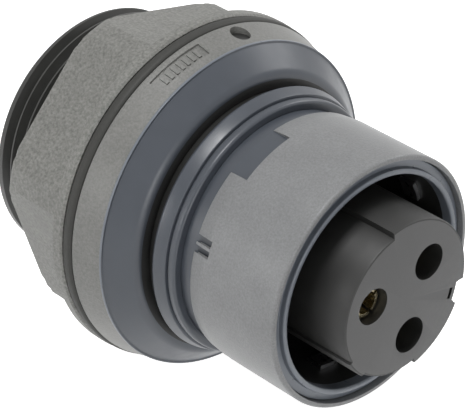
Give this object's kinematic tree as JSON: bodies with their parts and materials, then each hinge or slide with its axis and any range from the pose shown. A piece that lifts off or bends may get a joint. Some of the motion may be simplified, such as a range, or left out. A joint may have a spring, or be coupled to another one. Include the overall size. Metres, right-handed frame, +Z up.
{
  "type": "push-pull circular connector",
  "caption": "Panel-mount circular power connector, socket side: pull-back release sleeve, rounded flange, gasket, hex nut on a threaded tail and a keyed contact insert.",
  "frame": {"origin": "centre of the flange's rear face, where the gasket and panel seat", "axes": "+X along the connector's axis towards the mating plug, +Z up, +Y to the right seen from the plug"},
  "size_m": [0.0468, 0.0384, 0.0384],
  "materials": {
    "black_nylon": "moulded, satin",
    "grey_nylon": "spark-textured",
    "slate_nylon": "smooth moulded",
    "nut_nylon": "spark-textured",
    "gasket_rubber": "matt",
    "insert_nylon": "matt moulded",
    "plated_brass": "turned and plated",
    "seal_rubber": "matt",
    "spring_steel": "bright"
  },
  "bodies": {
    "connector": {"housing": "black_nylon", "flange_shell": "grey_nylon", "collar_ring": "slate_nylon", "nose_ring": "slate_nylon", "contact_insert": "insert_nylon", "rear_insulator": "insert_nylon", "insert_retainer": "slate_nylon", "socket_contact_1": "plated_brass", "socket_contact_2": "plated_brass", "socket_contact_3": "plated_brass", "contact_clip_1": "spring_steel", "contact_clip_2": "spring_steel", "contact_clip_3": "spring_steel", "interface_seal": "seal_rubber", "insert_oring": "seal_rubber", "shell_seal": "seal_rubber", "return_spring": "spring_steel"},
    "gasket": {"panel_gasket": "gasket_rubber"},
    "nut": {"hex_nut": "nut_nylon"},
    "sleeve": {"release_sleeve": "grey_nylon"},
    "latch_1": {"latch_1": "spring_steel"},
    "latch_2": {"latch_2": "spring_steel"},
    "latch_3": {"latch_3": "spring_steel"}
  },
  "joints": [
    {"name": "nut_travel", "type": "slide", "parent": "connector", "child": "gasket", "axis": [-1, 0, 0], "range_m": [0, 0.0181]},
    {"name": "nut_turn", "type": "hinge", "parent": "gasket", "child": "nut", "pos_m": [0, 0, 0], "axis": [-1, 0, 0], "range_deg": [0, 4320]},
    {"name": "sleeve_pull", "type": "slide", "parent": "connector", "child": "sleeve", "axis": [-1, 0, 0], "range_m": [0, 0.0014], "stiffness_N_per_m": 900, "springref_m": -0.002, "deforming": ["return_spring"]},
    {"name": "latch_lift_1", "type": "slide", "parent": "connector", "child": "latch_1", "axis": [0, 0.9205, 0.3907], "range_m": [0, 0.0005]},
    {"name": "latch_lift_2", "type": "slide", "parent": "connector", "child": "latch_2", "axis": [0, -0.7986, 0.6018], "range_m": [0, 0.0005]},
    {"name": "latch_lift_3", "type": "slide", "parent": "connector", "child": "latch_3", "axis": [0, -0.1219, -0.9925], "range_m": [0, 0.0005]}
  ],
  "couplings": [
    {"joint": "nut_travel", "follows": "nut_turn", "m_per_rad": 0.00023873},
    {"joint": "latch_lift_1", "follows": "sleeve_pull", "ratio": 0.35714},
    {"joint": "latch_lift_2", "follows": "sleeve_pull", "ratio": 0.35714},
    {"joint": "latch_lift_3", "follows": "sleeve_pull", "ratio": 0.35714}
  ]
}
